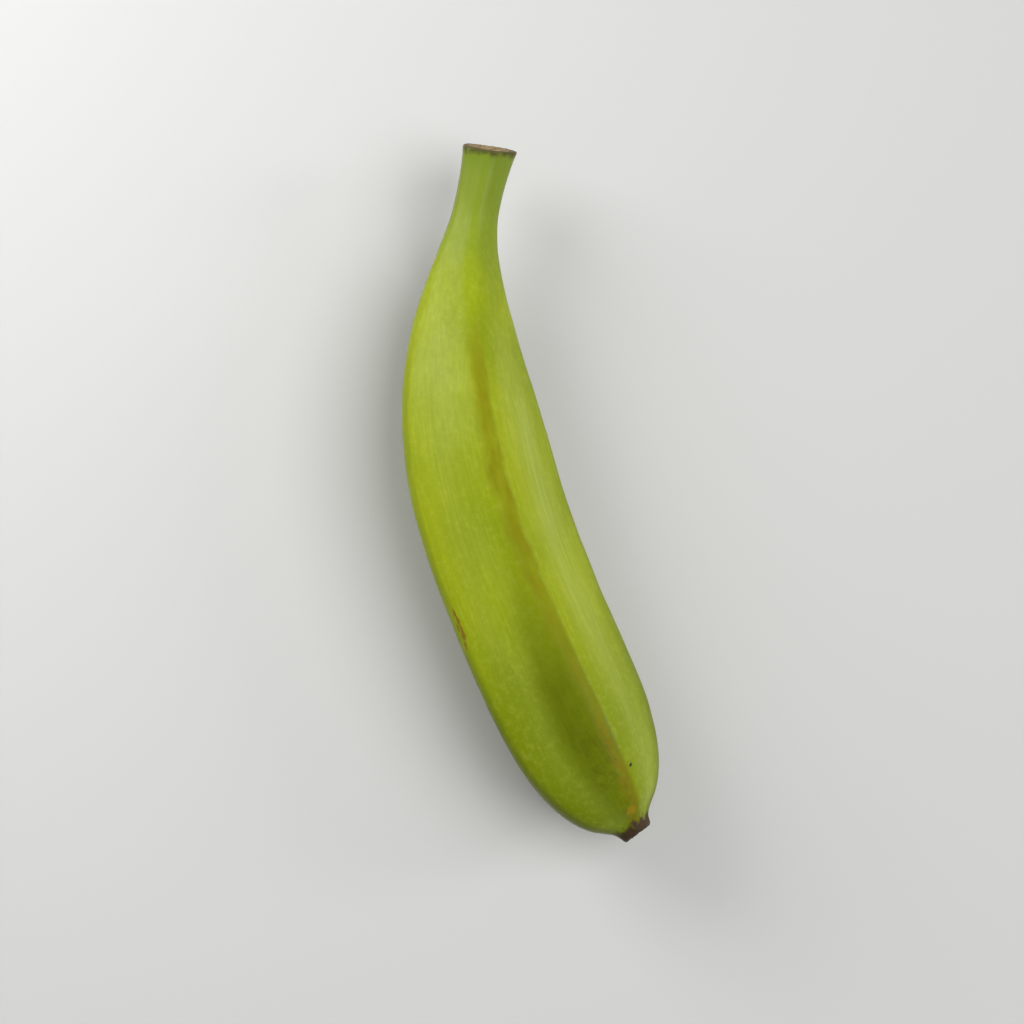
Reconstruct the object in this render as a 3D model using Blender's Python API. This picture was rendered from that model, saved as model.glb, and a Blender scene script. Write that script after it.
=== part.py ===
"""Green banana: one whole fruit, cut from its hand and lying on its side.

A banana finger grew as one piece, so it is one solid. Five blunt ridges run from
the stalk to the blossom end with nearly flat faces between them. The stalk was
cut with a knife. The blossom end is a short stub with the dry scar of the flower.

Metres, +Z up. The fruit lies on the plane z = 0, with its length along X: the
stalk at -X, the blossom end at +X and the hollow side of its curve towards +Y.
The origin is the centre of the underside of its bounding box.
"""

import math

import bpy
import numpy as np

# Driving dimensions. Stations are distances along the curved centre line,
# counted from the cut face of the stalk.
FRUIT_LENGTH = 0.176
STALK_LENGTH = 0.016
NECK_LENGTH = 0.076
NOSE_LENGTH = 0.038
STUB_LENGTH = 0.0042

RIDGE_RADIUS = 0.0212
STALK_RADIUS = 0.0066
CUT_FLARE = 0.0016
FLARE_REACH = 0.006
STUB_RADIUS = 0.0040
STUB_FLARE = 0.0034
STUB_FLARE_REACH = 0.0020
BELLY_STATION = 0.112
BELLY_SHARE = 0.05
PROFILE_ROUNDING = 0.0030

# Ridge directions round the centre line, in degrees from the hollow side of the
# curve towards +Z, and how far each ridge stands out against RIDGE_RADIUS.
RIDGE_ANGLES = (2.0, 74.0, 146.0, 226.0, 301.0)
RIDGE_SHARES = (1.00, 1.02, 0.99, 1.01, 0.98)
RIDGE_SWAY = 2.0
RIDGE_TWIST = 2.0

# The section is a five-sided shape with rounded corners. The exponent sets how
# tight the corners are, and the fullness blends the shape towards a circle.
BODY_CORNER = 10.0
STALK_CORNER = 6.0
STUB_CORNER = 5.0
FULLNESS = 0.14

# How fast the centre line turns, in degrees per millimetre, at these stations.
BEND_STATIONS = (0.0, 0.020, 0.042, 0.084, 0.104, 0.118, 0.136, 0.150, 0.176)
BEND_RATES = (0.12, 0.28, 0.42, 0.38, 0.20, 0.11, 0.11, 0.28, 0.45)
STALK_LIFT = 9.0
STALK_LIFT_REACH = 0.050
TIP_LIFT = 5.0
TIP_LIFT_REACH = 0.040

# How the fruit lies: rolled on to its lower face, which is pressed flat.
REST_ROLL = 3.5
REST_FLAT = 0.00045

# The cut face leans, and is a little hollow. The scar is a dish with a boss.
CUT_LEAN = 0.20
CUT_LEAN_TOWARDS = 120.0
CUT_HOLLOW = 0.0007
SCAR_DEPTH = 0.0012
SCAR_BOSS = 0.0008

# Mesh fineness.
SIDES = 60
SPINE_STEPS = 1760


def smoothstep(share):
    """Rises from 0 to 1 with level ends."""
    share = np.clip(share, 0.0, 1.0)
    return share * share * (3.0 - 2.0 * share)


def spine():
    """The centre line: stations, points, tangents, and the two directions across it.

    The heading is the running sum of the bend rate, and the pitch lifts both ends.
    """
    station = np.linspace(0.0, FRUIT_LENGTH, SPINE_STEPS + 1)
    step = FRUIT_LENGTH / SPINE_STEPS
    rate = np.radians(np.interp(station, BEND_STATIONS, BEND_RATES) * 1000.0)
    heading = np.cumsum(rate) * step
    heading -= heading.mean()
    pitch = -math.radians(STALK_LIFT) * (1.0 - smoothstep(station / STALK_LIFT_REACH))
    pitch += math.radians(TIP_LIFT) * smoothstep(
        (station - FRUIT_LENGTH + TIP_LIFT_REACH) / TIP_LIFT_REACH
    )
    tangent = np.stack(
        [
            np.cos(pitch) * np.cos(heading),
            np.cos(pitch) * np.sin(heading),
            np.sin(pitch),
        ],
        axis=1,
    )
    point = np.cumsum(tangent, axis=0) * step
    hollow_side = np.stack(
        [-np.sin(heading), np.cos(heading), np.zeros_like(heading)], axis=1
    )
    upper_side = np.cross(tangent, hollow_side)
    return station, point, tangent, hollow_side, upper_side


def girth(station):
    """Ridge radius at each station: stalk, neck, belly, blunt nose and stub.

    The neck swells as (1 - (1 - t)^2.5)^1.5, quick at first and then level. The nose
    closes on the stub as (1 - t^3)^0.66. A short moving average rounds the joins.
    """
    spacing = FRUIT_LENGTH / SPINE_STEPS
    margin = int(round(PROFILE_ROUNDING / spacing))
    fine = spacing * np.arange(-margin, SPINE_STEPS + margin + 1)
    stalk = STALK_RADIUS + CUT_FLARE * np.exp(-fine / FLARE_REACH)
    swell = (fine - BELLY_STATION) / FRUIT_LENGTH
    body = RIDGE_RADIUS * (1.0 - BELLY_SHARE * (2.0 * swell) ** 2)
    along_neck = np.clip((fine - STALK_LENGTH) / NECK_LENGTH, 0.0, 1.0)
    fruit = stalk + (body - stalk) * (1.0 - (1.0 - along_neck) ** 2.5) ** 1.5
    past_nose = fine - FRUIT_LENGTH + STUB_LENGTH
    stub = STUB_RADIUS + STUB_FLARE * np.exp(-np.maximum(past_nose, 0.0) / STUB_FLARE_REACH)
    along_nose = np.clip(past_nose / NOSE_LENGTH + 1.0, 0.0, 1.0)
    outline = stub + (fruit - stub) * (1.0 - along_nose**3) ** 0.66
    window = np.hanning(2 * margin + 3)[1:-1]
    rounded = np.convolve(outline, window / window.sum(), mode="valid")
    return np.interp(station, spacing * np.arange(SPINE_STEPS + 1), rounded)


def section_radius(station, angle, ridge_radius):
    """Distance from the centre line to the surface, at stations by angles.

    Each face is the straight line between two ridges. The section is the rounded
    meeting of the five faces: the sum of (reach along a face's normal over the
    face's distance) to the power of the corner exponent, brought back to a length.
    """
    along = station / FRUIT_LENGTH
    corner = STALK_CORNER + (BODY_CORNER - STALK_CORNER) * smoothstep(
        (station - STALK_LENGTH) / NECK_LENGTH
    )
    corner -= (BODY_CORNER - STUB_CORNER) * smoothstep(
        (station - FRUIT_LENGTH + NOSE_LENGTH) / NOSE_LENGTH
    )
    ridges = []
    for index, (degrees, share) in enumerate(zip(RIDGE_ANGLES, RIDGE_SHARES)):
        sway = RIDGE_SWAY * np.sin(2.0 * math.pi * (along * 0.9 + index * 0.87))
        turned = np.radians(degrees + sway + RIDGE_TWIST * (along - 0.5))
        ridges.append(share * np.stack([np.cos(turned), np.sin(turned)], axis=1))
    total = np.zeros((len(station), len(angle)))
    for index, start in enumerate(ridges):
        edge = ridges[(index + 1) % len(ridges)] - start
        normal = np.stack([edge[:, 1], -edge[:, 0]], axis=1)
        normal /= np.linalg.norm(normal, axis=1, keepdims=True)
        distance = (normal * start).sum(axis=1, keepdims=True)
        reach = normal[:, :1] * np.cos(angle) + normal[:, 1:] * np.sin(angle)
        total += np.maximum(reach / distance, 0.0) ** corner[:, None]
    cornered = total ** (-1.0 / corner[:, None])
    return ridge_radius[:, None] * (
        (1.0 - FULLNESS) * cornered + FULLNESS * math.cos(math.radians(36.0))
    )


def profile():
    """Stations and shares of the girth, from the middle of the cut face, over the
    outside, to the middle of the blossom scar."""
    stalk = np.linspace(0.0006, STALK_LENGTH, 7)
    neck = np.linspace(STALK_LENGTH, STALK_LENGTH + NECK_LENGTH, 26)[1:]
    nose_start = FRUIT_LENGTH - STUB_LENGTH - NOSE_LENGTH
    body = np.linspace(STALK_LENGTH + NECK_LENGTH, nose_start, 15)[1:]
    nose_turn = np.linspace(0.0, math.pi / 2.0, 17)[1:]
    nose = nose_start + NOSE_LENGTH * np.sin(nose_turn)
    stub = np.linspace(nose[-1], FRUIT_LENGTH - 0.0005, 6)[1:]
    outside = np.concatenate([stalk, neck, body, nose, stub])
    cut = [(CUT_HOLLOW, 0.0), (CUT_HOLLOW * 0.8, 0.45), (0.0001, 0.80), (0.0, 0.95)]
    end = FRUIT_LENGTH
    scar = [
        (end, 0.90),
        (end - 0.0001, 0.76),
        (end - SCAR_DEPTH, 0.56),
        (end - SCAR_DEPTH, 0.34),
        (end - SCAR_DEPTH + SCAR_BOSS, 0.20),
        (end - SCAR_DEPTH + SCAR_BOSS, 0.0),
    ]
    rows = cut + [(station, 1.0) for station in outside] + scar
    return np.array([row[0] for row in rows]), np.array([row[1] for row in rows])


def surface_points():
    """The rings of points, one ring for each row of the profile, in the rest pose."""
    row_station, row_share = profile()
    station, point, tangent, hollow_side, upper_side = spine()
    angle = np.linspace(0.0, 2.0 * math.pi, SIDES, endpoint=False)
    radius = section_radius(row_station, angle, girth(row_station) * row_share)
    lean = CUT_LEAN * radius * np.cos(angle - math.radians(CUT_LEAN_TOWARDS))
    lean *= (1.0 - smoothstep(row_station / STALK_LENGTH))[:, None]

    def at_rows(values):
        columns = [np.interp(row_station, station, column) for column in values.T]
        return np.stack(columns, axis=1)[:, None, :]

    across = (
        np.cos(angle)[None, :, None] * at_rows(hollow_side)
        + np.sin(angle)[None, :, None] * at_rows(upper_side)
    )
    rings = at_rows(point) + radius[:, :, None] * across
    rings += lean[:, :, None] * at_rows(tangent)

    roll = math.radians(REST_ROLL)
    y, z = rings[..., 1].copy(), rings[..., 2].copy()
    rings[..., 1] = y * math.cos(roll) - z * math.sin(roll)
    rings[..., 2] = y * math.sin(roll) + z * math.cos(roll)
    rings[..., 2] -= rings[..., 2].min() + REST_FLAT
    rings[..., 2] = np.maximum(rings[..., 2], 0.0)
    for axis in (0, 1):
        low, high = rings[..., axis].min(), rings[..., axis].max()
        rings[..., axis] -= (low + high) / 2.0
    return rings


def loft(rings):
    """Vertices and faces of the closed skin: a strip between each two rings, and a
    fan to one point at the middle of each end."""
    rows, sides = rings.shape[:2]
    inner = rings[1:-1].reshape(-1, 3)
    vertices = [*inner, rings[0].mean(axis=0), rings[-1].mean(axis=0)]
    first_end, last_end = len(inner), len(inner) + 1
    faces = []
    for row in range(rows - 3):
        for side in range(sides):
            here, after = row * sides + side, row * sides + (side + 1) % sides
            faces.append((here, after, after + sides, here + sides))
    last_ring = (rows - 3) * sides
    for side in range(sides):
        after = (side + 1) % sides
        faces.append((first_end, after, side))
        faces.append((last_end, last_ring + side, last_ring + after))
    return vertices, faces


def peel_material():
    """Unripe peel: yellowish green with a waxy gloss."""
    material = bpy.data.materials.new("peel")
    material.use_nodes = True
    shader = material.node_tree.nodes["Principled BSDF"]
    shader.inputs["Base Color"].default_value = (0.27, 0.34, 0.025, 1.0)
    shader.inputs["Roughness"].default_value = 0.42
    shader.inputs["Metallic"].default_value = 0.0
    return material


def make_banana(collection):
    """The fruit: five-ridged sections lofted along the curved centre line."""
    vertices, faces = loft(surface_points())
    mesh = bpy.data.meshes.new("banana")
    mesh.from_pydata([tuple(map(float, v)) for v in vertices], [], faces)
    mesh.materials.append(peel_material())
    mesh.shade_smooth()
    mesh.set_sharp_from_angle(angle=math.radians(50.0))
    banana = bpy.data.objects.new("banana", mesh)
    collection.objects.link(banana)
    return banana


def main():
    for old in list(bpy.data.objects):
        bpy.data.objects.remove(old, do_unlink=True)
    fruit = bpy.data.collections.new("green_banana")
    bpy.context.scene.collection.children.link(fruit)
    make_banana(fruit)


main()
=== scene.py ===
"""Green banana, one finger, cut from its hand and laid on its side.

Metres, +Z up. The fruit lies along X on the plane z = 0: the cut stalk at -X, the
blossom end at +X and the hollow side of its curve towards +Y.
"""

import math

import bpy
import numpy as np
from mathutils import Matrix, Vector


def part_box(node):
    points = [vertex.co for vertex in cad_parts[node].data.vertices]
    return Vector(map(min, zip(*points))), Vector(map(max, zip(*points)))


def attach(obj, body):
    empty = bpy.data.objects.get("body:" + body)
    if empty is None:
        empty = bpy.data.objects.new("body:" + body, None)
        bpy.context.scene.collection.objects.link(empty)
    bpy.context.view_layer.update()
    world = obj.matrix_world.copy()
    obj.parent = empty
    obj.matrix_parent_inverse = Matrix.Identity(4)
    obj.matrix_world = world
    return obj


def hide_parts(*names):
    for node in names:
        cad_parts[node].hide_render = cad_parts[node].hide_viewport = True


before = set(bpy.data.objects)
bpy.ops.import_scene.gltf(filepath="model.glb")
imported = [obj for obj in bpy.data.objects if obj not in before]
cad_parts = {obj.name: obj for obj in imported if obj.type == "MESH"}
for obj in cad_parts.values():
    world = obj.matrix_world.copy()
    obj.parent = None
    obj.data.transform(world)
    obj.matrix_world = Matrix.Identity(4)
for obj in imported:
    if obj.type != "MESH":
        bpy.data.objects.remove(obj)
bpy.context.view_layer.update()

# The line the finger grew along. The young fruit hangs down and then bends up
# towards the light, mostly near its stalk and again at its very tip.
FINGER_LENGTH = 0.176
BEND_STATIONS = (0.0, 0.020, 0.042, 0.084, 0.104, 0.118, 0.136, 0.150, 0.176)
BEND_RATES = (0.12, 0.28, 0.42, 0.38, 0.20, 0.11, 0.11, 0.28, 0.45)
STALK_LIFT = 9.0
STALK_LIFT_REACH = 0.050
TIP_LIFT = 5.0
TIP_LIFT_REACH = 0.040
LINE_STEPS = 1760


def eased(share):
    """Rises from 0 to 1 with level ends: 3 t^2 - 2 t^3, for t held between 0 and 1."""
    share = np.clip(share, 0.0, 1.0)
    return share * share * (3.0 - 2.0 * share)


def growth_line():
    """Stations along the fruit, and at each its place, direction, hollow side and
    upper side. The heading is the running sum of the bend rates (degrees per
    millimetre) less its mean, and the pitch lifts both ends off the ground."""
    station = np.linspace(0.0, FINGER_LENGTH, LINE_STEPS + 1)
    step = FINGER_LENGTH / LINE_STEPS
    heading = np.cumsum(np.radians(np.interp(station, BEND_STATIONS, BEND_RATES) * 1000.0)) * step
    heading -= heading.mean()
    pitch = math.radians(TIP_LIFT) * eased((station - FINGER_LENGTH + TIP_LIFT_REACH) / TIP_LIFT_REACH)
    pitch -= math.radians(STALK_LIFT) * (1.0 - eased(station / STALK_LIFT_REACH))
    level = np.stack([np.cos(heading), np.sin(heading), np.zeros_like(heading)], axis=1)
    forward = level * np.cos(pitch)[:, None]
    forward[:, 2] = np.sin(pitch)
    hollow_side = np.stack([-np.sin(heading), np.cos(heading), np.zeros_like(heading)], axis=1)
    return station, np.cumsum(forward, axis=0) * step, forward, hollow_side, np.cross(forward, hollow_side)


# The section of the finger. Five ridges run from stalk to tip, where the fruit
# was pressed against its neighbours, with nearly flat faces between them.
RIDGE_RADIUS = 0.0212
STALK_LENGTH = 0.016
STALK_RADIUS = 0.0066
CUT_FLARE = 0.0016
FLARE_REACH = 0.006
NECK_LENGTH = 0.076
NOSE_LENGTH = 0.038
STUB_LENGTH = 0.0042
STUB_RADIUS = 0.0040
STUB_FLARE = 0.0034
STUB_FLARE_REACH = 0.0020
BELLY_STATION = 0.112
BELLY_SHARE = 0.05
PROFILE_ROUNDING = 0.0030
RIDGE_ANGLES = np.array([2.0, 74.0, 146.0, 226.0, 301.0])
RIDGE_SHARES = (1.00, 1.02, 0.99, 1.01, 0.98)
RIDGE_SWAY = 2.0
RIDGE_TWIST = 2.0
STALK_CORNER = 6.0
BODY_CORNER = 12.0
STUB_CORNER = 5.0
FULLNESS = 0.14


def girth(station):
    """Ridge radius at each station. The neck swells as (1 - (1 - t)^2.5)^1.5 and the
    nose closes on the stub as (1 - t^3)^0.66; a moving average rounds the joins."""
    spacing = FINGER_LENGTH / LINE_STEPS
    margin = int(round(PROFILE_ROUNDING / spacing))
    fine = spacing * np.arange(-margin, LINE_STEPS + margin + 1)
    stalk = STALK_RADIUS + CUT_FLARE * np.exp(-fine / FLARE_REACH)
    body = RIDGE_RADIUS * (1.0 - BELLY_SHARE * (2.0 * (fine - BELLY_STATION) / FINGER_LENGTH) ** 2)
    along_neck = np.clip((fine - STALK_LENGTH) / NECK_LENGTH, 0.0, 1.0)
    fruit = stalk + (body - stalk) * (1.0 - (1.0 - along_neck) ** 2.5) ** 1.5
    past_nose = fine - FINGER_LENGTH + STUB_LENGTH
    stub = STUB_RADIUS + STUB_FLARE * np.exp(-np.maximum(past_nose, 0.0) / STUB_FLARE_REACH)
    along_nose = np.clip(past_nose / NOSE_LENGTH + 1.0, 0.0, 1.0)
    outline = stub + (fruit - stub) * (1.0 - along_nose**3) ** 0.66
    window = np.hanning(2 * margin + 3)[1:-1]
    rounded = np.convolve(outline, window / window.sum(), mode="valid")
    return np.interp(station, spacing * np.arange(LINE_STEPS + 1), rounded)


def ridge_directions(station):
    """Directions of the five ridges at each station, in radians from the hollow
    side: a fixed angle, a slow sine sway of its own and a slight twist in all."""
    along = station[:, None] / FINGER_LENGTH
    sway = RIDGE_SWAY * np.sin(2.0 * math.pi * (along * 0.9 + np.arange(5) * 0.87))
    return np.radians(RIDGE_ANGLES + sway + RIDGE_TWIST * (along - 0.5))


def section(station, angle):
    """Radius over ridge radius, at stations by angles: the rounded meeting of five
    flat faces, (sum of (reach over face distance)^n)^(-1/n), eased towards a circle."""
    corner = STALK_CORNER + (BODY_CORNER - STALK_CORNER) * eased((station - STALK_LENGTH) / NECK_LENGTH)
    corner -= (BODY_CORNER - STUB_CORNER) * eased((station - FINGER_LENGTH + NOSE_LENGTH) / NOSE_LENGTH)
    turned = ridge_directions(station)
    ridge = np.stack([np.cos(turned), np.sin(turned)], axis=2) * np.array(RIDGE_SHARES)[None, :, None]
    total = np.zeros((len(station), len(angle)))
    for index in range(5):
        start = ridge[:, index]
        edge = ridge[:, (index + 1) % 5] - start
        normal = np.stack([edge[:, 1], -edge[:, 0]], axis=1)
        normal /= np.linalg.norm(normal, axis=1, keepdims=True)
        distance = (normal * start).sum(axis=1, keepdims=True)
        reach = normal[:, :1] * np.cos(angle) + normal[:, 1:] * np.sin(angle)
        total += np.maximum(reach / distance, 0.0) ** corner[:, None]
    cornered = total ** (-1.0 / corner[:, None])
    return (1.0 - FULLNESS) * cornered + FULLNESS * math.cos(math.radians(36.0))


# The skin: peel, cut face and blossom scar as one closed surface. It is a grid of
# rings, from the middle of the cut, over the outside, to the middle of the scar.
SIDES = 240
CUT_RINGS = 34
RIM_RINGS = 5
STALK_RINGS = 47
NECK_RINGS = 111
BARREL_RINGS = 63
NOSE_RINGS = 87
STUB_RINGS = 23
SCAR_RINGS = 26
RIM_START = 0.95
CUT_HOLLOW = 0.0007
CUT_ROUNDING = 0.0006
CUT_LEAN = 0.20
CUT_LEAN_TOWARDS = 120.0
SCAR_DEPTH = 0.0012
SCAR_BOSS = 0.0008
SCAR_ROUNDING = 0.0004


def onward(start, end, rings):
    """Evenly spaced values up to the end, leaving out the start, which is there already."""
    return np.linspace(start, end, rings + 1)[1:]


def rows_of_the_skin():
    """Station, share of the girth and material of each ring. On the cut the station
    falls back to 0 as the share nears 1; on the scar a dish has a boss in its middle."""
    cut_share = np.linspace(0.0, RIM_START, CUT_RINGS)
    cut_station = CUT_HOLLOW * (1.0 - eased(cut_share / 0.85))
    turn = onward(0.0, math.pi / 2.0, RIM_RINGS)
    rim_share = RIM_START + (1.0 - RIM_START) * np.sin(turn)
    rim_station = CUT_ROUNDING * (1.0 - np.cos(turn))
    nose_start = FINGER_LENGTH - STUB_LENGTH - NOSE_LENGTH
    outside = np.concatenate([
        onward(CUT_ROUNDING, STALK_LENGTH, STALK_RINGS),
        onward(STALK_LENGTH, STALK_LENGTH + NECK_LENGTH, NECK_RINGS),
        onward(STALK_LENGTH + NECK_LENGTH, nose_start, BARREL_RINGS),
        nose_start + NOSE_LENGTH * np.sin(onward(0.0, math.pi / 2.0, NOSE_RINGS)),
        onward(FINGER_LENGTH - STUB_LENGTH, FINGER_LENGTH - SCAR_ROUNDING, STUB_RINGS),
    ])
    scar_share = np.linspace(0.93, 0.0, SCAR_RINGS)
    scar_station = FINGER_LENGTH - SCAR_DEPTH * eased((0.82 - scar_share) / 0.26)
    scar_station += SCAR_BOSS * eased((0.36 - scar_share) / 0.16)
    station = np.concatenate([cut_station, rim_station, outside, scar_station])
    share = np.concatenate([cut_share, rim_share, np.ones(len(outside)), scar_share])
    kind = np.repeat([1, 0, 2], [len(cut_share), len(rim_share) + len(outside), len(scar_share)])
    return station, share, kind


WAVES = 14


def ripple(place, wavelength, seed):
    """Soft unevenness of about -1 to 1: the sum of fourteen sine waves of nearly one
    wavelength, in directions and phases drawn from the seed."""
    draw = np.random.default_rng(seed)
    heading = draw.normal(size=(WAVES, 3))
    heading /= np.linalg.norm(heading, axis=1, keepdims=True)
    pace = 2.0 * math.pi / (wavelength * draw.uniform(0.75, 1.35, WAVES))
    waves = np.sin(place @ (heading * pace[:, None]).T + draw.uniform(0.0, 2.0 * math.pi, WAVES))
    return waves.sum(axis=-1) / 5.0


LENGTHWISE = np.array([0.06, 1.0, 1.0])
station, share, kind = rows_of_the_skin()
angle = np.linspace(0.0, 2.0 * math.pi, SIDES, endpoint=False)
around = np.stack([np.zeros_like(angle), np.cos(angle), np.sin(angle)], axis=1)
radius = girth(station)[:, None] * share[:, None] * section(station, angle)
straight = around[None] * radius[:, :, None]
straight[..., 0] = station[:, None]

# Distance of each point from the nearest ridge, measured round the fruit.
gap = angle[None, :, None] - ridge_directions(station)[:, None, :]
gap = (gap + math.pi) % (2.0 * math.pi) - math.pi
nearest_ridge = np.abs(gap).argmin(axis=2)
ridge_side = np.take_along_axis(gap, nearest_ridge[:, :, None], axis=2)[:, :, 0] * radius
ridge_gap = np.abs(ridge_side)

# The relief of the peel, as changes of the radius: a thin keel on each ridge, broad
# and fine unevenness, fibres that show through towards the stalk, and a few dents.
KEEL_HEIGHT = 0.00004
KEEL_WIDTH = 0.0018
BROAD_SWELL = 0.00016
SMALL_SWELL = 0.00005
FIBRE_HEIGHT = 0.000018
STALK_RIB_HEIGHT = 0.00013
STUB_WRINKLE_HEIGHT = 0.00012
DENTS = 16
on_peel = (kind == 0)[:, None]
body = eased((station - 0.02) / 0.05) * eased((FINGER_LENGTH - 0.010 - station) / 0.03)
relief = KEEL_HEIGHT * np.exp(-((ridge_gap / KEEL_WIDTH) ** 2)) * body[:, None]
relief *= 0.75 + 0.35 * ripple(straight, 0.020, 11)
relief += BROAD_SWELL * ripple(straight, 0.034, 12) + SMALL_SWELL * ripple(straight, 0.010, 13)
relief += FIBRE_HEIGHT * ripple(straight * LENGTHWISE, 0.0019, 14)
stalkward = (1.0 - eased((station - 0.010) / 0.050))[:, None]
relief += STALK_RIB_HEIGHT * ripple(straight * LENGTHWISE, 0.0034, 15) * stalkward
stubward = eased((station - FINGER_LENGTH + 0.006) / 0.004)[:, None]
relief += STUB_WRINKLE_HEIGHT * ripple(straight * np.array([0.5, 1.0, 1.0]), 0.0022, 16) * stubward
draw = np.random.default_rng(21)
for _ in range(DENTS):
    dent_station = draw.uniform(0.045, 0.160)
    dent_angle = draw.uniform(0.0, 2.0 * math.pi)
    dent_radius = 0.8 * girth(np.array([dent_station]))[0]
    middle = np.array([dent_station, dent_radius * math.cos(dent_angle), dent_radius * math.sin(dent_angle)])
    spread = draw.uniform(0.0030, 0.0070)
    depth = draw.uniform(0.00005, 0.00022)
    relief -= depth * np.exp(-(((straight - middle) ** 2).sum(axis=2)) / spread**2)
radius = radius + relief * np.where(on_peel, 1.0, share[:, None])

# The relief of the two ends, along the fruit: strands that stand out of the cut in
# a sunflower spiral, and cracks that run out over the dry scar.
STRANDS = 64
STRAND_HEIGHT = 0.00011
STRAND_RADIUS = 0.00024
PITH_RADIUS = 0.0056
PITH_ROUGHNESS = 0.00005
CRACKS = 3
CRACK_DEPTH = 0.00022
CRACK_WIDTH = 0.16
CRUMB_HEIGHT = 0.00010
end_relief = np.zeros_like(radius)
on_cut = (kind == 1)[:, None]
flat_place = straight[..., 1:]
for strand in range(STRANDS):
    turn = strand * math.pi * (3.0 - math.sqrt(5.0))
    reach = PITH_RADIUS * math.sqrt((strand + 0.5) / STRANDS)
    away = ((flat_place - np.array([math.cos(turn), math.sin(turn)]) * reach) ** 2).sum(axis=2)
    end_relief -= STRAND_HEIGHT * np.exp(-away / STRAND_RADIUS**2) * on_cut
end_relief += PITH_ROUGHNESS * ripple(straight, 0.0016, 31) * on_cut
on_scar = (kind == 2)[:, None]
crack = np.abs(np.sin(0.5 * CRACKS * angle[None] + 0.7 * ripple(straight, 0.004, 32)))
end_relief -= CRACK_DEPTH * np.exp(-((crack / CRACK_WIDTH) ** 2)) * eased(share / 0.4)[:, None] * on_scar
end_relief += CRUMB_HEIGHT * ripple(straight, 0.0011, 33) * on_scar
leaning = CUT_LEAN * radius * np.cos(angle - math.radians(CUT_LEAN_TOWARDS))
leaning *= (1.0 - eased(station / STALK_LENGTH))[:, None]


def at_rows(columns):
    """Values of the growth line at each ring, shaped to spread over its sides."""
    return np.stack([np.interp(station, line_station, c) for c in columns.T], axis=1)[:, None]


line_station, line_place, line_forward, line_hollow, line_upper = growth_line()
across = np.cos(angle)[None, :, None] * at_rows(line_hollow)
across = across + np.sin(angle)[None, :, None] * at_rows(line_upper)
skin_place = at_rows(line_place) + radius[:, :, None] * across
skin_place += (leaning + end_relief)[:, :, None] * at_rows(line_forward)

# The fruit is rolled on to its lower face, which presses a little flat, and is
# set down where the frame has it.
REST_ROLL = 3.5
REST_FLAT = 0.00045
roll = math.radians(REST_ROLL)
side, height = skin_place[..., 1].copy(), skin_place[..., 2].copy()
skin_place[..., 1] = side * math.cos(roll) - height * math.sin(roll)
skin_place[..., 2] = side * math.sin(roll) + height * math.cos(roll)
skin_place[..., 2] = np.maximum(skin_place[..., 2] - skin_place[..., 2].min() - REST_FLAT, 0.0)
low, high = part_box("banana")
for axis in (0, 1):
    middle = (skin_place[..., axis].min() + skin_place[..., axis].max()) / 2.0
    skin_place[..., axis] += (low[axis] + high[axis]) / 2.0 - middle


def closed_skin(name, rings):
    """A mesh from rings of points: four-sided faces between each two rings, and a fan
    of triangles to one point at either end, where the first and last ring close."""
    rows, sides = rings.shape[:2]
    first_middle = rings[0].mean(axis=0)[None]
    last_middle = rings[-1].mean(axis=0)[None]
    points = np.concatenate([first_middle, rings[1:-1].reshape(-1, 3), last_middle])
    here = np.arange(sides)
    after = (here + 1) % sides
    start = 1 + sides * np.arange(rows - 3)[:, None]
    quads = np.stack([start + here, start + after, start + after + sides, start + here + sides], axis=2)
    last = 1 + sides * (rows - 3)
    first_fan = np.stack([np.zeros(sides, int), 1 + after, 1 + here], axis=1)
    last_fan = np.stack([np.full(sides, len(points) - 1), last + here, last + after], axis=1)
    corners = np.concatenate([quads.reshape(-1), first_fan.reshape(-1), last_fan.reshape(-1)])
    sizes = np.concatenate([np.full(len(quads) * sides, 4), np.full(2 * sides, 3)])
    mesh = bpy.data.meshes.new(name)
    mesh.vertices.add(len(points))
    mesh.vertices.foreach_set("co", points.reshape(-1))
    mesh.loops.add(len(corners))
    mesh.loops.foreach_set("vertex_index", corners)
    mesh.polygons.add(len(sizes))
    mesh.polygons.foreach_set("loop_start", np.concatenate([[0], np.cumsum(sizes)[:-1]]))
    mesh.update(calc_edges=True)
    mesh.shade_smooth()
    return mesh


def note_on_points(mesh, name, values):
    """Stores one value, or one vector, for each point of the skin, for its finish."""
    values = np.asarray(values, float)
    first = values[0].mean(axis=0)[None]
    last = values[-1].mean(axis=0)[None]
    flat = np.concatenate([first, values[1:-1].reshape(-1, *values.shape[2:]), last])
    vector = values.ndim == 3
    note = mesh.attributes.new(name, "FLOAT_VECTOR" if vector else "FLOAT", "POINT")
    note.data.foreach_set("vector" if vector else "value", flat.reshape(-1))


skin_mesh = closed_skin("banana_skin", skin_place)
skin = bpy.data.objects.new("banana_skin", skin_mesh)
bpy.context.scene.collection.objects.link(skin)
note_on_points(skin_mesh, "straight", straight)

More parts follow.
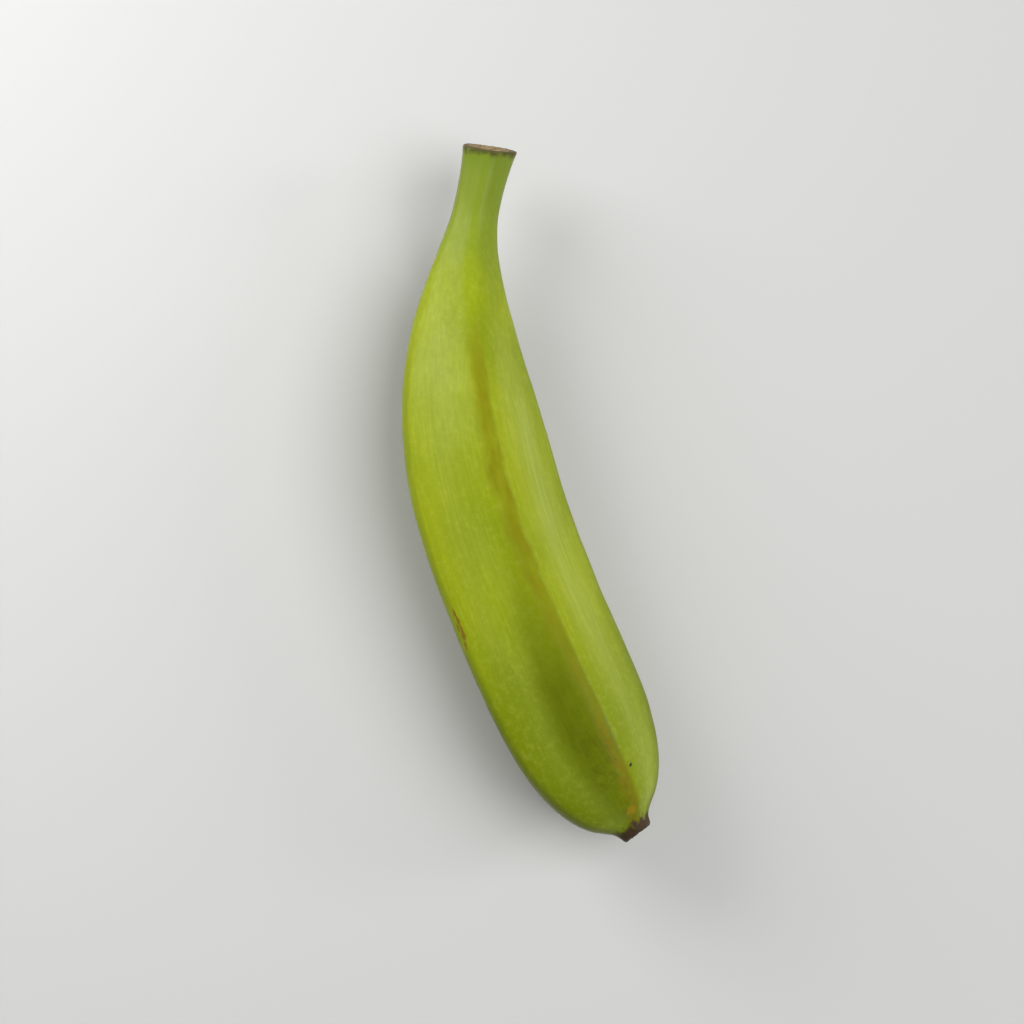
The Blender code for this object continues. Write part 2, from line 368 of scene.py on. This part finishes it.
# The wear of the peel. An olive band lies on the outer flank of each ridge, a mustard
# line on its crest, and brown rubbing by the blossom end. On the outer face of the upper
# ridge the olive band spreads wide towards the tip: partly olive tanning, partly painted
# shade. Between the ridges the peel keeps its pale bloom of wax, laid on thickest on the
# face towards the hollow side as a painted sheen, and its green deepens towards the tip,
# most on the outer face of the upper ridge: partly the peel's own colour, partly painted shade.
UPPER_RIDGE = 1
RIDGE_WEAR = np.array([0.40, 1.00, 0.15, 0.40, 0.50])
# Pale wax bloom on each face; the 0.42 on the face towards the hollow side is mostly painted sheen.
FACE_BLOOM_AND_SHEEN = np.array([0.42, 0.18, 0.20, 0.26, 0.22])
# Deeper green towards the tip on each face; the 1.00 on the outer face of the upper ridge is partly painted
# shade.
FACE_DEPTH_AND_SHADE = np.array([0.45, 1.00, 0.60, 0.50, 0.50])
BAND_STATIONS = (0.030, 0.090, 0.112, 0.132, 0.150, 0.168)
BAND_START = -0.0019
BAND_START_SOFTNESS = 0.0013
# The upper band spreads over the outer face towards the tip: partly olive tanning, partly painted shade.
UPPER_BAND_AND_SHADE_WIDTHS = (0.0014, 0.0024, 0.0066, 0.0096, 0.0108, 0.0098)
UPPER_BAND_AND_SHADE_SHARES = (0.20, 0.20, 0.38, 0.88, 1.00, 0.66)
UPPER_BAND_AND_SHADE_SOFTNESS = 0.0056
PLAIN_BAND_WIDTHS = (0.0010, 0.0014, 0.0020, 0.0028, 0.0032, 0.0028)
PLAIN_BAND_SOFTNESS = 0.0070
CREST_START = -0.0020
CREST_START_SOFTNESS = 0.0016
CREST_WIDTH = 0.0012
UPPER_CREST_EXTRA = 0.0011
CREST_SOFTNESS = 0.0026
RUB_MIDDLE = 0.0003
RUB_WIDTH = 0.0017
MOTTLE_START = -0.0015
MOTTLE_START_SOFTNESS = 0.0015
MOTTLE_SOFTNESS = 0.0025
# Where the green starts to deepen towards the tip, partly as painted shade.
DEEPENING_AND_SHADE_START = 0.105
DEEPENING_AND_SHADE_REACH = 0.050


def begins(side, edge, softness):
    """0 before an edge across the ridge, easing to 1 over the softness beyond it."""
    return eased((side - edge) / softness)


def stops(side, edge, softness):
    """1 before an edge across the ridge, easing to 0 with the softness centred on it."""
    return eased((edge + 0.5 * softness - side) / softness)


past_neck = eased((station - 0.035) / 0.03)[:, None]
towards_tip = eased((station - 0.100) / 0.050)[:, None]
near_tip = eased((station - 0.140) / 0.018)[:, None]
on_upper = nearest_ridge == UPPER_RIDGE
wear = RIDGE_WEAR[nearest_ridge]

# From a ridge to the middle of its face, measured round the fruit.
half_face = 0.60 * radius + 0.001
raggedness = 0.0004 * ripple(straight, 0.0110, 41) + 0.0002 * ripple(straight, 0.0024, 42)
ragged_side = ridge_side + raggedness

# The band widens towards the tip. That of the upper ridge runs past the middle of
# its face, partly olive tanning and partly painted shade, and the others end before it.
plain_width = np.interp(station, BAND_STATIONS, PLAIN_BAND_WIDTHS)[:, None]
softness = np.minimum(PLAIN_BAND_SOFTNESS, 0.52 * half_face)
plain_width = np.minimum(plain_width, 0.96 * half_face - 0.5 * softness)
band_and_shade = begins(ridge_side, BAND_START, BAND_START_SOFTNESS) * stops(ragged_side, plain_width, softness)
band_and_shade *= (0.40 + 0.60 * towards_tip) * (0.45 + 0.55 * wear) * ~on_upper
upper_side = gap[:, :, UPPER_RIDGE] * radius
upper_band_and_shade_width = np.interp(station, BAND_STATIONS, UPPER_BAND_AND_SHADE_WIDTHS)[:, None]
upper_band_and_shade_width = np.minimum(upper_band_and_shade_width, 1.2 * half_face - 0.5 * UPPER_BAND_AND_SHADE_SOFTNESS)
upper_band_and_shade = begins(upper_side, BAND_START, BAND_START_SOFTNESS)
upper_band_and_shade *= stops(upper_side + raggedness, upper_band_and_shade_width, UPPER_BAND_AND_SHADE_SOFTNESS)
upper_band_and_shade *= np.interp(station, BAND_STATIONS, UPPER_BAND_AND_SHADE_SHARES)[:, None]
band_and_shade = np.maximum(band_and_shade, upper_band_and_shade) * past_neck

# Crest, rubbing and mottles follow the ridge itself, the mottles on the upper one only.
crest_width = CREST_WIDTH + UPPER_CREST_EXTRA * (1.0 - towards_tip) * on_upper
crest = begins(ragged_side, CREST_START, CREST_START_SOFTNESS)
crest *= stops(ragged_side, crest_width, CREST_SOFTNESS)
crest *= past_neck * wear * (1.0 - 0.35 * towards_tip)
rub = np.exp(-(((ragged_side - RUB_MIDDLE) / RUB_WIDTH) ** 2)) * near_tip * wear
mottle = begins(ragged_side, MOTTLE_START, MOTTLE_START_SOFTNESS)
mottle *= stops(ragged_side, 0.75 * half_face - 0.5 * MOTTLE_SOFTNESS, MOTTLE_SOFTNESS)
mottle *= near_tip * on_upper

# The pale wax bloom of each face fades at its two ridges and a little towards the tip.
# On the face between the upper ridge and the hollow side it is laid on thickest, as a
# painted sheen.
face = (nearest_ridge - (ridge_side < 0.0)) % 5
bloom_and_sheen = eased((ridge_gap / half_face - 0.22) / 0.60) * past_neck * (1.0 - stubward)
bloom_and_sheen *= 0.80 + 0.35 * ripple(straight * np.array([0.25, 1.0, 1.0]), 0.0080, 43)
bloom_and_sheen *= FACE_BLOOM_AND_SHEEN[face] * (1.0 - 0.35 * towards_tip)

# The green deepens towards the tip, most on the outer face of the upper ridge: partly
# the peel's own colour, partly painted shade. Across a ridge the depth of green passes
# smoothly from one face to the next.
ridge_depth_and_shade = ((FACE_DEPTH_AND_SHADE + np.roll(FACE_DEPTH_AND_SHADE, 1)) / 2.0)[nearest_ridge]
deep_green_and_shade = ridge_depth_and_shade + (FACE_DEPTH_AND_SHADE[face] - ridge_depth_and_shade) * eased(ridge_gap / half_face)
deep_green_and_shade *= eased((station - DEEPENING_AND_SHADE_START) / DEEPENING_AND_SHADE_REACH)[:, None]

# Of these notes the band, the deep green and the bloom also carry painted shade and painted sheen.
notes = {"band_and_shade": band_and_shade, "crest": crest, "rub": rub, "mottle": mottle, "bloom_and_sheen": bloom_and_sheen, "deep_green_and_shade": deep_green_and_shade}
for note, amount in notes.items():
    note_on_points(skin_mesh, note, amount * on_peel)

# Each face of the skin takes the finish of its rings: 0 peel, 1 cut face, 2 scar.
quad_kind = kind[1:-2] * (kind[1:-2] == kind[2:-1])
face_kind = np.concatenate([np.repeat(quad_kind, SIDES), np.full(SIDES, 1), np.full(SIDES, 2)])
skin_mesh.polygons.foreach_set("material_index", face_kind)


# The finish of the peel. Unripe peel is a waxy yellowish green with pale pores and
# lengthwise fibres. Where it was rubbed it scars olive, mustard and brown. Its pale wax
# also serves as a painted sheen, and its olive and deeper green partly as painted shade.
LEAF_GREEN = (0.180, 0.232, 0.0030, 1.0)
YELLOW_GREEN = (0.250, 0.295, 0.0060, 1.0)
# Pale wax, also laid on as a painted sheen.
WAX_BLOOM_AND_SHEEN = (0.330, 0.380, 0.0900, 1.0)
# Olive of the tanned ridges, also used as painted shade on the outer face.
OLIVE_AND_SHADE = (0.078, 0.100, 0.0003, 1.0)
MUSTARD = (0.158, 0.150, 0.0002, 1.0)
# Deep green of the tip and of the fibres, also used as painted shade on the outer face.
TIP_GREEN_AND_SHADE = (0.130, 0.176, 0.0015, 1.0)
RUBBED_BROWN = (0.150, 0.120, 0.0004, 1.0)
MOTTLE_BROWN = (0.066, 0.068, 0.0006, 1.0)
SPECK_BROWN = (0.020, 0.012, 0.004, 1.0)
PALE_PORE = (0.340, 0.390, 0.050, 1.0)
DARK_STALK = (0.120, 0.175, 0.020, 1.0)
DRY_BROWN = (0.045, 0.028, 0.014, 1.0)


def new_finish(name):
    """A material with its node tree and its shader, ready to be wired."""
    finish = bpy.data.materials.new(name)
    finish.use_nodes = True
    return finish, finish.node_tree, finish.node_tree.nodes["Principled BSDF"]


def add(tree, kind, sockets=(), **options):
    """Adds one node. Each socket gets a plain value, or a link from another node."""
    made = tree.nodes.new("ShaderNode" + kind)
    for option, value in options.items():
        setattr(made, option, value)
    for socket, value in dict(sockets).items():
        if isinstance(value, bpy.types.NodeSocket):
            tree.links.new(value, made.inputs[socket])
        else:
            made.inputs[socket].default_value = value
    return made


def stretched(tree, vector, scale):
    """The vector with each of its directions multiplied by its own scale."""
    return add(tree, "Mapping", {"Vector": vector, "Scale": scale}).outputs[0]


def noise(tree, vector, scale, detail=2.0, roughness=0.5):
    """Cloudy values of about 0.2 to 0.8, with this many clouds to a metre."""
    sockets = {"Vector": vector, "Scale": scale, "Detail": detail, "Roughness": roughness}
    return add(tree, "TexNoise", sockets).outputs[0]


def ranged(tree, value, low, high, out_low=0.0, out_high=1.0):
    """Turns the range low to high into out_low to out_high, held at both ends."""
    sockets = {"Value": value, "From Min": low, "From Max": high, "To Min": out_low, "To Max": out_high}
    return add(tree, "MapRange", sockets).outputs[0]


def worked(tree, operation, first, second):
    """One sum, product or other operation on two numbers."""
    return add(tree, "Math", {0: first, 1: second}, operation=operation).outputs[0]


def over(tree, share, under_colour, over_colour, how="MIX"):
    """Lays one colour over another by a share of 0 to 1."""
    mixed = add(tree, "Mix", {0: share, 6: under_colour, 7: over_colour}, data_type="RGBA", blend_type=how)
    return mixed.outputs[2]


def noted(tree, name, output="Fac"):
    """A value stored on the points of the skin."""
    return add(tree, "Attribute", attribute_name=name).outputs[output]


def spot(tree, place, middle, length, width):
    """A small mark with a torn edge: 1 inside an oval about a point, 0 outside it."""
    away = add(tree, "VectorMath", {0: place, 1: middle}, operation="SUBTRACT").outputs[0]
    away = stretched(tree, away, (2.0 / length, 2.0 / width, 2.0 / width))
    reach = add(tree, "VectorMath", {0: away}, operation="LENGTH").outputs["Value"]
    torn = worked(tree, "MULTIPLY", noise(tree, stretched(tree, place, (0.4, 1.0, 1.0)), 2200.0, 4.0), 1.8)
    return ranged(tree, worked(tree, "ADD", reach, torn), 1.50, 2.00, 1.0, 0.0)


def green_peel(tree, place):
    """Green clouds, a deeper green towards the tip that is partly painted shade, and the pale bloom of wax,
    laid on partly as a painted sheen.
    """
    clouds = ranged(tree, noise(tree, stretched(tree, place, (0.5, 1.0, 1.0)), 55.0, 3.0), 0.35, 0.65)
    colour = over(tree, clouds, LEAF_GREEN, YELLOW_GREEN)
    # Deeper green towards the tip, partly painted shade.
    colour = over(tree, noted(tree, "deep_green_and_shade"), colour, TIP_GREEN_AND_SHADE)
    # Pale wax bloom, partly a painted sheen.
    return over(tree, noted(tree, "bloom_and_sheen"), colour, WAX_BLOOM_AND_SHEEN)


def tanned_ridges(tree, place, colour):
    """Olive bands, mustard crests and dark mottles, where the skin has them noted. The wide band on the
    outer face of the upper ridge is partly painted shade.
    """
    tanned = ranged(tree, noise(tree, place, 150.0, 3.0), 0.30, 0.70, 0.78, 1.0)
    # Olive bands; the wide one on the outer face of the upper ridge is partly painted shade.
    colour = over(tree, worked(tree, "MULTIPLY", noted(tree, "band_and_shade"), tanned), colour, OLIVE_AND_SHADE)
    streaks = noise(tree, stretched(tree, place, (0.3, 1.0, 1.0)), 420.0, 4.0)
    lined = ranged(tree, streaks, 0.32, 0.62, 0.45, 1.0)
    colour = over(tree, worked(tree, "MULTIPLY", noted(tree, "crest"), lined), colour, MUSTARD)
    mottles = ranged(tree, noise(tree, place, 430.0, 4.0, 0.62), 0.44, 0.66, 0.0, 0.60)
    return over(tree, worked(tree, "MULTIPLY", noted(tree, "mottle"), mottles), colour, MOTTLE_BROWN)


# Marks: one black fleck by the nose, an orange bruise at the end of the upper ridge,
# and a run of short reddish scratches on the ridge below it. Each is a middle on the
# straightened finger, a length and a width.
BLACK_FLECK = ((0.1612, 0.0069, 0.0136), 0.0009, 0.0012)
ORANGE_BRUISE = ((0.1709, 0.0016, 0.0084), 0.0090, 0.0026)
SCRATCHES = (
    ((0.1108, -0.0157, 0.0114), 0.0030, 0.0008),
    ((0.1130, -0.0155, 0.0114), 0.0040, 0.0009),
    ((0.1142, -0.0159, 0.0109), 0.0026, 0.0006),
    ((0.1160, -0.0155, 0.0115), 0.0044, 0.0011),
    ((0.1184, -0.0158, 0.0110), 0.0028, 0.0007),
)
SCRATCH_RED = (0.150, 0.060, 0.008, 1.0)
BRUISE_ORANGE = (0.290, 0.165, 0.0010, 1.0)
SPECK_RADIUS = 0.075


def marked(tree, place, colour):
    """A few scattered brown specks, then the bruise, the scratches and the fleck. One
    cell in six of a cell pattern has a speck, of a size drawn with the cell."""
    cells = add(tree, "TexVoronoi", {"Vector": place, "Scale": 150.0})
    draw_of_cell = add(tree, "SeparateColor", {0: cells.outputs["Color"]}).outputs[0]
    size = worked(tree, "MULTIPLY", ranged(tree, draw_of_cell, 0.82, 0.98), SPECK_RADIUS)
    inside = worked(tree, "SUBTRACT", size, cells.outputs["Distance"])
    colour = over(tree, ranged(tree, inside, 0.0, 0.02, 0.0, 0.8), colour, SPECK_BROWN)
    bruise = worked(tree, "MULTIPLY", spot(tree, place, *ORANGE_BRUISE), 0.6)
    colour = over(tree, bruise, colour, BRUISE_ORANGE)
    for scratch in SCRATCHES:
        colour = over(tree, worked(tree, "MULTIPLY", spot(tree, place, *scratch), 0.75), colour, SCRATCH_RED)
    return over(tree, spot(tree, place, *BLACK_FLECK), colour, SPECK_BROWN)


def dried_ends(tree, place, along, colour):
    """A darker stalk, a browned edge below the cut, and dry brown on the stub, both
    with a ragged border."""
    colour = over(tree, ranged(tree, along, 0.040, 0.004, 0.0, 0.75), colour, DARK_STALK)
    ragged = noise(tree, stretched(tree, place, (0.6, 1.0, 1.0)), 700.0, 4.0)
    from_cut = worked(tree, "SUBTRACT", along, worked(tree, "MULTIPLY", ragged, 0.0034))
    colour = over(tree, ranged(tree, from_cut, -0.0014, 0.0002, 0.8, 0.0), colour, DRY_BROWN)
    to_stub = worked(tree, "ADD", along, worked(tree, "MULTIPLY", ragged, 0.006))
    dry_share = ranged(tree, to_stub, FINGER_LENGTH - 0.0005, FINGER_LENGTH + 0.0012)
    return over(tree, dry_share, colour, DRY_BROWN)


def peel_finish():
    """Peel: green with pale freckles and pores, tanned ridges, dark fibres, brown
    rubbing, marks and dry ends. Fibres, pores, fine grain and rubbing make the bump."""
    finish, tree, shader = new_finish("peel")
    place = noted(tree, "straight", "Vector")
    along = add(tree, "SeparateXYZ", {0: place}).outputs[0]
    fibres = noise(tree, stretched(tree, place, (0.05, 1.0, 1.0)), 1400.0, 2.0)
    freckles = noise(tree, place, 620.0, 3.0, 0.6)
    pores = add(tree, "TexVoronoi", {"Vector": place, "Scale": 1150.0}).outputs["Distance"]
    scuffs = noise(tree, stretched(tree, place, (0.35, 1.0, 1.0)), 900.0, 5.0, 0.65)
    rubbed = worked(tree, "MULTIPLY", noted(tree, "rub"), ranged(tree, scuffs, 0.38, 0.60))

    colour = green_peel(tree, place)
    colour = over(tree, ranged(tree, freckles, 0.48, 0.66, 0.0, 0.18), colour, PALE_PORE)
    colour = over(tree, ranged(tree, pores, 0.10, 0.32, 0.16, 0.0), colour, PALE_PORE)
    colour = tanned_ridges(tree, place, colour)
    colour = over(tree, ranged(tree, fibres, 0.34, 0.66, 0.0, 0.26), colour, TIP_GREEN_AND_SHADE)
    colour = over(tree, rubbed, colour, RUBBED_BROWN)
    colour = dried_ends(tree, place, along, marked(tree, place, colour))
    tree.links.new(colour, shader.inputs["Base Color"])

    dullness = ranged(tree, noise(tree, place, 260.0, 3.0), 0.30, 0.70, 0.31, 0.42)
    dullness = worked(tree, "ADD", dullness, worked(tree, "MULTIPLY", noted(tree, "crest"), 0.45))
    tree.links.new(dullness, shader.inputs["Roughness"])
    shader.inputs["Specular IOR Level"].default_value = 0.11

    height = worked(tree, "MULTIPLY", pores, 0.25)
    height = worked(tree, "ADD", height, worked(tree, "MULTIPLY", fibres, 0.35))
    height = worked(tree, "ADD", height, worked(tree, "MULTIPLY", noise(tree, place, 2400.0, 2.0), 0.25))
    height = worked(tree, "SUBTRACT", height, worked(tree, "MULTIPLY", rubbed, 0.5))
    bump = add(tree, "Bump", {"Strength": 0.35, "Distance": 0.00012, "Height": height})
    tree.links.new(bump.outputs[0], shader.inputs["Normal"])
    return finish


# The cut face has dried since the knife went through it: tan pith with darker
# strands, and a brown edge where the peel shrank.
PITH_TAN = (0.300, 0.215, 0.085, 1.0)
PITH_BROWN = (0.120, 0.070, 0.025, 1.0)
BROWN_EDGE_START = 0.0048
BROWN_EDGE_END = 0.0066


def cut_finish():
    """Pith: tan clouds, dark strand ends and a rim that browns towards the peel."""
    finish, tree, shader = new_finish("cut_face")
    place = noted(tree, "straight", "Vector")
    clouds = ranged(tree, noise(tree, place, 900.0, 4.0), 0.35, 0.65)
    colour = over(tree, clouds, PITH_TAN, PITH_BROWN)
    strands = add(tree, "TexVoronoi", {"Vector": place, "Scale": 1300.0}).outputs["Distance"]
    colour = over(tree, ranged(tree, strands, 0.15, 0.35, 0.6, 0.0), colour, DRY_BROWN)
    flat = stretched(tree, place, (0.0, 1.0, 1.0))
    outward = add(tree, "VectorMath", {0: flat}, operation="LENGTH").outputs["Value"]
    edge_share = ranged(tree, outward, BROWN_EDGE_START, BROWN_EDGE_END, 0.0, 0.85)
    colour = over(tree, edge_share, colour, DRY_BROWN)
    tree.links.new(colour, shader.inputs["Base Color"])
    shader.inputs["Roughness"].default_value = 0.82
    bump = add(tree, "Bump", {"Strength": 0.5, "Distance": 0.0002, "Height": clouds})
    tree.links.new(bump.outputs[0], shader.inputs["Normal"])
    return finish


# The blossom scar is where the flower dried and broke away: dark, dry and crumbled.
SCAR_DARK = (0.016, 0.011, 0.008, 1.0)
SCAR_BROWN = (0.085, 0.050, 0.026, 1.0)


def scar_finish():
    """Scar: brown crumbs over nearly black tissue, quite without gloss."""
    finish, tree, shader = new_finish("blossom_scar")
    place = noted(tree, "straight", "Vector")
    crumbs = ranged(tree, noise(tree, place, 1700.0, 5.0, 0.65), 0.40, 0.62)
    tree.links.new(over(tree, crumbs, SCAR_DARK, SCAR_BROWN), shader.inputs["Base Color"])
    shader.inputs["Roughness"].default_value = 0.9
    bump = add(tree, "Bump", {"Strength": 0.8, "Distance": 0.0003, "Height": crumbs})
    tree.links.new(bump.outputs[0], shader.inputs["Normal"])
    return finish


for make_finish in (peel_finish, cut_finish, scar_finish):
    skin_mesh.materials.append(make_finish())
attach(skin, "root")
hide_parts("banana")


# The floor: a wide round sheet of pale board that curves up into a low wall all
# round, far from the fruit, so that no edge of it shows from any side.
FLOOR_MIDDLE = 0.5
FLOOR_REACH = 2.4
WALL_CURVE = 1.2
WALL_RINGS = 25
FLOOR_SIDES = 96
PALE_GREY = (0.45, 0.45, 0.44, 1.0)


def coved_floor(name):
    """Rings of points: level out to the reach, then a quarter circle that rises, with
    four-sided faces between the rings and one many-sided face in the middle."""
    turn = np.linspace(0.0, math.pi / 2.0, WALL_RINGS)
    reach = np.concatenate([[FLOOR_MIDDLE], FLOOR_REACH + WALL_CURVE * np.sin(turn)])[:, None]
    rise = np.concatenate([[0.0], WALL_CURVE * (1.0 - np.cos(turn))])[:, None]
    bearing = np.linspace(0.0, 2.0 * math.pi, FLOOR_SIDES, endpoint=False)
    rings = np.stack([reach * np.cos(bearing), reach * np.sin(bearing), rise * np.ones(FLOOR_SIDES)], axis=2)
    here = np.arange(rings.size // 3).reshape(rings.shape[:2])
    after = np.roll(here, -1, axis=1)
    quads = np.stack([here[:-1], here[1:], after[1:], after[:-1]], axis=2).reshape(-1, 4)
    mesh = bpy.data.meshes.new(name)
    mesh.from_pydata(rings.reshape(-1, 3).tolist(), [], quads.tolist() + [here[0].tolist()])
    mesh.shade_smooth()
    return mesh


floor_mesh = coved_floor("floor")
floor = bpy.data.objects.new("floor", floor_mesh)
bpy.context.scene.collection.objects.link(floor)
floor_finish, _, floor_shader = new_finish("pale_floor")
floor_shader.inputs["Base Color"].default_value = PALE_GREY
floor_shader.inputs["Roughness"].default_value = 0.9
floor_shader.inputs["Specular IOR Level"].default_value = 0.1
floor_mesh.materials.append(floor_finish)


# The light: a large soft box high on the right of the picture and three weak ones,
# low on the right, low on the left and beside the stalk, in a pale room.
def soft_box(name, place, size, watts):
    """A square area light that faces the fruit."""
    lamp = bpy.data.lights.new(name, "AREA")
    lamp.shape = "SQUARE"
    lamp.size = size
    lamp.energy = watts
    made = bpy.data.objects.new(name, lamp)
    made.location = place
    made.rotation_euler = (-Vector(place)).to_track_quat("-Z", "Y").to_euler()
    bpy.context.scene.collection.objects.link(made)


soft_box("right_box", (0.26, 1.01, 2.02), 1.98, 58.0)
soft_box("low_right_box", (0.05, 1.00, 0.45), 0.25, 2.6)
soft_box("low_left_box", (-0.36, -0.88, 0.25), 0.40, 0.7)
soft_box("left_box", (-0.33, -0.28, 0.26), 0.30, 2.3)
world = bpy.data.worlds.new("pale_room")
world.use_nodes = True
world.node_tree.nodes["Background"].inputs["Color"].default_value = (1.0, 1.0, 1.0, 1.0)
world.node_tree.nodes["Background"].inputs["Strength"].default_value = 0.25
bpy.context.scene.world = world

# The camera looks down on the fruit, a little from its outer side and its blossom
# end, with the stalk towards the top of the picture.
LOOK_AT = Vector((0.0041, 0.0005, 0.0177))
CAMERA_DISTANCE = 0.5845
LEAN_TO_OUTER_SIDE = 6.33
LEAN_TO_BLOSSOM = 5.0
PICTURE_TURN = 12.1
camera_data = bpy.data.cameras.new("camera")
camera_data.lens = 85.0
camera_data.sensor_width = 36.0
camera = bpy.data.objects.new("camera", camera_data)
towards_blossom = math.sin(math.radians(LEAN_TO_BLOSSOM))
towards_outer_side = math.sin(math.radians(LEAN_TO_OUTER_SIDE))
backward = Vector((towards_blossom, -towards_outer_side, 0.0))
backward.z = math.sqrt(1.0 - backward.length_squared)
picture_up = Vector((-math.cos(math.radians(PICTURE_TURN)), math.sin(math.radians(PICTURE_TURN)), 0.0))
picture_right = picture_up.cross(backward).normalized()
picture_up = backward.cross(picture_right)
camera.matrix_world = Matrix.Translation(LOOK_AT + CAMERA_DISTANCE * backward) @ Matrix(
    (picture_right, picture_up, backward)
).transposed().to_4x4()
bpy.context.scene.collection.objects.link(camera)
bpy.context.scene.camera = camera
bpy.context.scene.view_settings.view_transform = "Standard"
